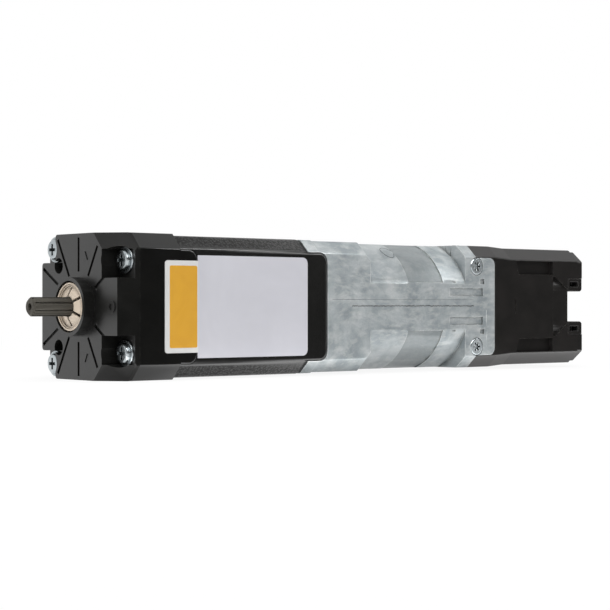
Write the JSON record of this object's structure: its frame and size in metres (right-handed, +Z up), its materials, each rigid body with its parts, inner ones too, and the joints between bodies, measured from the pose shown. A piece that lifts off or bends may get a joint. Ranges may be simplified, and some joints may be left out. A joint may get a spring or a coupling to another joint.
{
  "type": "venetian blind motor",
  "caption": "Slim tubular-style gear motor for a venetian blind's head rail, with a through drive shaft, limit adjusters on its end face and a forked tail for its bracket.",
  "frame": {"origin": "on the drive shaft's axis, in the plane of the end face with the limit adjusters", "axes": "+X along the drive shaft towards the forked tail, +Y away from the label side, +Z up"},
  "size_m": [0.2856, 0.0527, 0.055],
  "materials": {
    "cap_plastic": "moulded, fine matte",
    "housing_plastic": "smooth moulded black",
    "zinc_screws": "bright zinc plated",
    "badge_film": "printed film, bare",
    "label_film": "printed film, bare",
    "inner_steel": "turned",
    "frame_plastic": "moulded pale grey",
    "lamination_steel": "stacked laminations",
    "winding_copper": "enamelled copper",
    "shield_aluminium": "die cast",
    "bush_bronze": "sintered bronze",
    "brake_steel": "zinc plated",
    "gear_steel": "sintered",
    "die_cast_zinc": "as cast with flow marks",
    "tail_plastic": "moulded black-brown",
    "capacitor_case": "moulded can",
    "board_laminate": "green laminate",
    "board_part_plastic": "moulded",
    "socket_plastic": "moulded white",
    "contact_brass": "plated",
    "shaft_steel": "drawn, dark oxide",
    "ring_plastic": "natural acetal",
    "gear_plastic": "natural acetal",
    "friction_lining": "pressed friction lining",
    "planet_plastic": "filled nylon",
    "cam_plastic": "moulded orange",
    "adjuster_plastic": "moulded white",
    "arm_plastic": "moulded blue",
    "switch_plastic": "moulded black",
    "spring_steel": "stamped strip"
  },
  "bodies": {
    "housing": {"limit_end_cap": "cap_plastic", "limit_housing": "housing_plastic", "cap_screws": "zinc_screws", "badge_plate": "badge_film", "rating_label": "label_film", "limit_sleeve": "inner_steel", "limit_plate": "frame_plastic", "motor_housing": "housing_plastic", "stator_core": "lamination_steel", "motor_windings": "winding_copper", "end_shields": "shield_aluminium", "bearing_bushes": "bush_bronze", "brake_coil": "brake_steel", "guide_pins": "inner_steel", "brake_springs": "spring_steel", "reaction_plate": "brake_steel", "ring_gear": "gear_steel", "bearing_plate": "shield_aluminium", "gear_housing": "die_cast_zinc", "ear_screws": "zinc_screws", "tail_housing": "tail_plastic", "mounting_inserts": "tail_plastic", "capacitor": "capacitor_case", "circuit_board": "board_laminate", "board_parts": "board_part_plastic", "inlet_socket": "socket_plastic", "socket_contacts": "contact_brass"},
    "output": {"drive_shaft": "shaft_steel", "drive_ring": "ring_plastic", "limit_drive_gear": "gear_plastic", "output_carrier": "gear_steel", "hub_pin": "inner_steel"},
    "rotor": {"rotor_core": "lamination_steel", "rotor_sleeve": "inner_steel", "brake_disc": "friction_lining"},
    "carrier_1": {"carrier_1": "gear_steel"},
    "carrier_2": {"carrier_2": "gear_steel"},
    "planet_1a": {"planet_1a": "planet_plastic"},
    "planet_1b": {"planet_1b": "planet_plastic"},
    "planet_1c": {"planet_1c": "planet_plastic"},
    "planet_2a": {"planet_2a": "gear_steel"},
    "planet_2b": {"planet_2b": "gear_steel"},
    "planet_2c": {"planet_2c": "gear_steel"},
    "planet_3a": {"planet_3a": "gear_steel"},
    "planet_3b": {"planet_3b": "gear_steel"},
    "planet_3c": {"planet_3c": "gear_steel"},
    "lay_wheel_1": {"lay_wheel_1": "gear_plastic"},
    "counter_wheel": {"counter_wheel": "gear_plastic"},
    "lay_wheel_2": {"lay_wheel_2": "gear_plastic"},
    "cam_wheel_up": {"cam_wheel_up": "cam_plastic"},
    "cam_wheel_down": {"cam_wheel_down": "cam_plastic"},
    "adjuster_up": {"adjuster_up": "adjuster_plastic"},
    "adjuster_down": {"adjuster_down": "adjuster_plastic"},
    "switch_arm_up": {"switch_arm_up": "arm_plastic", "microswitch_up": "switch_plastic"},
    "switch_arm_down": {"switch_arm_down": "arm_plastic", "microswitch_down": "switch_plastic"},
    "switch_lever_up": {"switch_lever_up": "spring_steel"},
    "switch_lever_down": {"switch_lever_down": "spring_steel"},
    "brake_armature": {"brake_armature": "brake_steel"}
  },
  "joints": [
    {"name": "output_spin", "type": "hinge", "parent": "housing", "child": "output", "pos_m": [0, 0, 0], "axis": [1, 0, 0], "continuous": true},
    {"name": "carrier_2_spin", "type": "hinge", "parent": "housing", "child": "carrier_2", "pos_m": [0, 0, 0], "axis": [1, 0, 0], "continuous": true},
    {"name": "carrier_1_spin", "type": "hinge", "parent": "housing", "child": "carrier_1", "pos_m": [0, 0, 0], "axis": [1, 0, 0], "continuous": true},
    {"name": "rotor_spin", "type": "hinge", "parent": "housing", "child": "rotor", "pos_m": [0, 0, 0], "axis": [1, 0, 0], "continuous": true},
    {"name": "planet_1a_spin", "type": "hinge", "parent": "carrier_1", "child": "planet_1a", "pos_m": [0, 0.0132, 0], "axis": [1, 0, 0], "continuous": true},
    {"name": "planet_1b_spin", "type": "hinge", "parent": "carrier_1", "child": "planet_1b", "pos_m": [0, -0.0066, 0.01143], "axis": [1, 0, 0], "continuous": true},
    {"name": "planet_1c_spin", "type": "hinge", "parent": "carrier_1", "child": "planet_1c", "pos_m": [0, -0.0066, -0.01143], "axis": [1, 0, 0], "continuous": true},
    {"name": "planet_2a_spin", "type": "hinge", "parent": "carrier_2", "child": "planet_2a", "pos_m": [0, 0.0132, 0], "axis": [1, 0, 0], "continuous": true},
    {"name": "planet_2b_spin", "type": "hinge", "parent": "carrier_2", "child": "planet_2b", "pos_m": [0, -0.0066, 0.01143], "axis": [1, 0, 0], "continuous": true},
    {"name": "planet_2c_spin", "type": "hinge", "parent": "carrier_2", "child": "planet_2c", "pos_m": [0, -0.0066, -0.01143], "axis": [1, 0, 0], "continuous": true},
    {"name": "planet_3a_spin", "type": "hinge", "parent": "output", "child": "planet_3a", "pos_m": [0, 0.0132, 0], "axis": [1, 0, 0], "continuous": true},
    {"name": "planet_3b_spin", "type": "hinge", "parent": "output", "child": "planet_3b", "pos_m": [0, -0.0066, 0.01143], "axis": [1, 0, 0], "continuous": true},
    {"name": "planet_3c_spin", "type": "hinge", "parent": "output", "child": "planet_3c", "pos_m": [0, -0.0066, -0.01143], "axis": [1, 0, 0], "continuous": true},
    {"name": "lay_wheel_1_spin", "type": "hinge", "parent": "housing", "child": "lay_wheel_1", "pos_m": [0, -0.0135, 0], "axis": [1, 0, 0], "continuous": true},
    {"name": "counter_spin", "type": "hinge", "parent": "housing", "child": "counter_wheel", "pos_m": [0, 0, 0], "axis": [1, 0, 0], "continuous": true},
    {"name": "lay_wheel_2_spin", "type": "hinge", "parent": "housing", "child": "lay_wheel_2", "pos_m": [0, -0.0135, 0], "axis": [1, 0, 0], "continuous": true},
    {"name": "cam_up_spin", "type": "hinge", "parent": "housing", "child": "cam_wheel_up", "pos_m": [0, 0, 0], "axis": [1, 0, 0], "continuous": true},
    {"name": "cam_down_spin", "type": "hinge", "parent": "housing", "child": "cam_wheel_down", "pos_m": [0, 0, 0], "axis": [1, 0, 0], "continuous": true},
    {"name": "adjuster_up_turn", "type": "hinge", "parent": "housing", "child": "adjuster_up", "pos_m": [0, 0.01413, 0.01553], "axis": [1, 0, 0], "range_deg": [-44, 44]},
    {"name": "switch_arm_up_swing", "type": "hinge", "parent": "housing", "child": "switch_arm_up", "pos_m": [0, 0, 0], "axis": [1, 0, 0], "range_deg": [-12.1, 12.1]},
    {"name": "adjuster_down_turn", "type": "hinge", "parent": "housing", "child": "adjuster_down", "pos_m": [0, 0.01413, -0.01553], "axis": [1, 0, 0], "range_deg": [-44, 44]},
    {"name": "switch_arm_down_swing", "type": "hinge", "parent": "housing", "child": "switch_arm_down", "pos_m": [0, 0, 0], "axis": [1, 0, 0], "range_deg": [-12.1, 12.1]},
    {"name": "switch_lever_up_press", "type": "hinge", "parent": "switch_arm_up", "child": "switch_lever_up", "pos_m": [0, 0.0044, 0.0121], "axis": [1, 0, 0], "range_deg": [-6, 0], "stiffness_Nm_per_rad": 0.0005, "springref_deg": 1.72},
    {"name": "switch_lever_down_press", "type": "hinge", "parent": "switch_arm_down", "child": "switch_lever_down", "pos_m": [0, 0.0044, -0.0121], "axis": [1, 0, 0], "range_deg": [0, 6], "stiffness_Nm_per_rad": 0.0005, "springref_deg": -1.72},
    {"name": "brake_release", "type": "slide", "parent": "housing", "child": "brake_armature", "axis": [-1, 0, 0], "range_m": [0, 0.0004], "stiffness_N_per_m": 4000, "springref_m": -0.0005}
  ],
  "couplings": [
    {"joint": "carrier_2_spin", "follows": "output_spin", "ratio": 4.4},
    {"joint": "carrier_1_spin", "follows": "output_spin", "ratio": 19.36},
    {"joint": "rotor_spin", "follows": "output_spin", "ratio": 85.184},
    {"joint": "planet_1a_spin", "follows": "output_spin", "ratio": -54.853},
    {"joint": "planet_1b_spin", "follows": "output_spin", "ratio": -54.853},
    {"joint": "planet_1c_spin", "follows": "output_spin", "ratio": -54.853},
    {"joint": "planet_2a_spin", "follows": "output_spin", "ratio": -12.467},
    {"joint": "planet_2b_spin", "follows": "output_spin", "ratio": -12.467},
    {"joint": "planet_2c_spin", "follows": "output_spin", "ratio": -12.467},
    {"joint": "planet_3a_spin", "follows": "output_spin", "ratio": -2.8333},
    {"joint": "planet_3b_spin", "follows": "output_spin", "ratio": -2.8333},
    {"joint": "planet_3c_spin", "follows": "output_spin", "ratio": -2.8333},
    {"joint": "lay_wheel_1_spin", "follows": "output_spin", "ratio": -0.8},
    {"joint": "counter_spin", "follows": "output_spin", "ratio": 0.22857},
    {"joint": "lay_wheel_2_spin", "follows": "output_spin", "ratio": -0.18286},
    {"joint": "cam_up_spin", "follows": "output_spin", "ratio": 0.052245},
    {"joint": "cam_down_spin", "follows": "output_spin", "ratio": 0.052245},
    {"joint": "switch_arm_up_swing", "follows": "adjuster_up_turn", "ratio": -0.27273},
    {"joint": "switch_arm_down_swing", "follows": "adjuster_down_turn", "ratio": -0.27273}
  ]
}
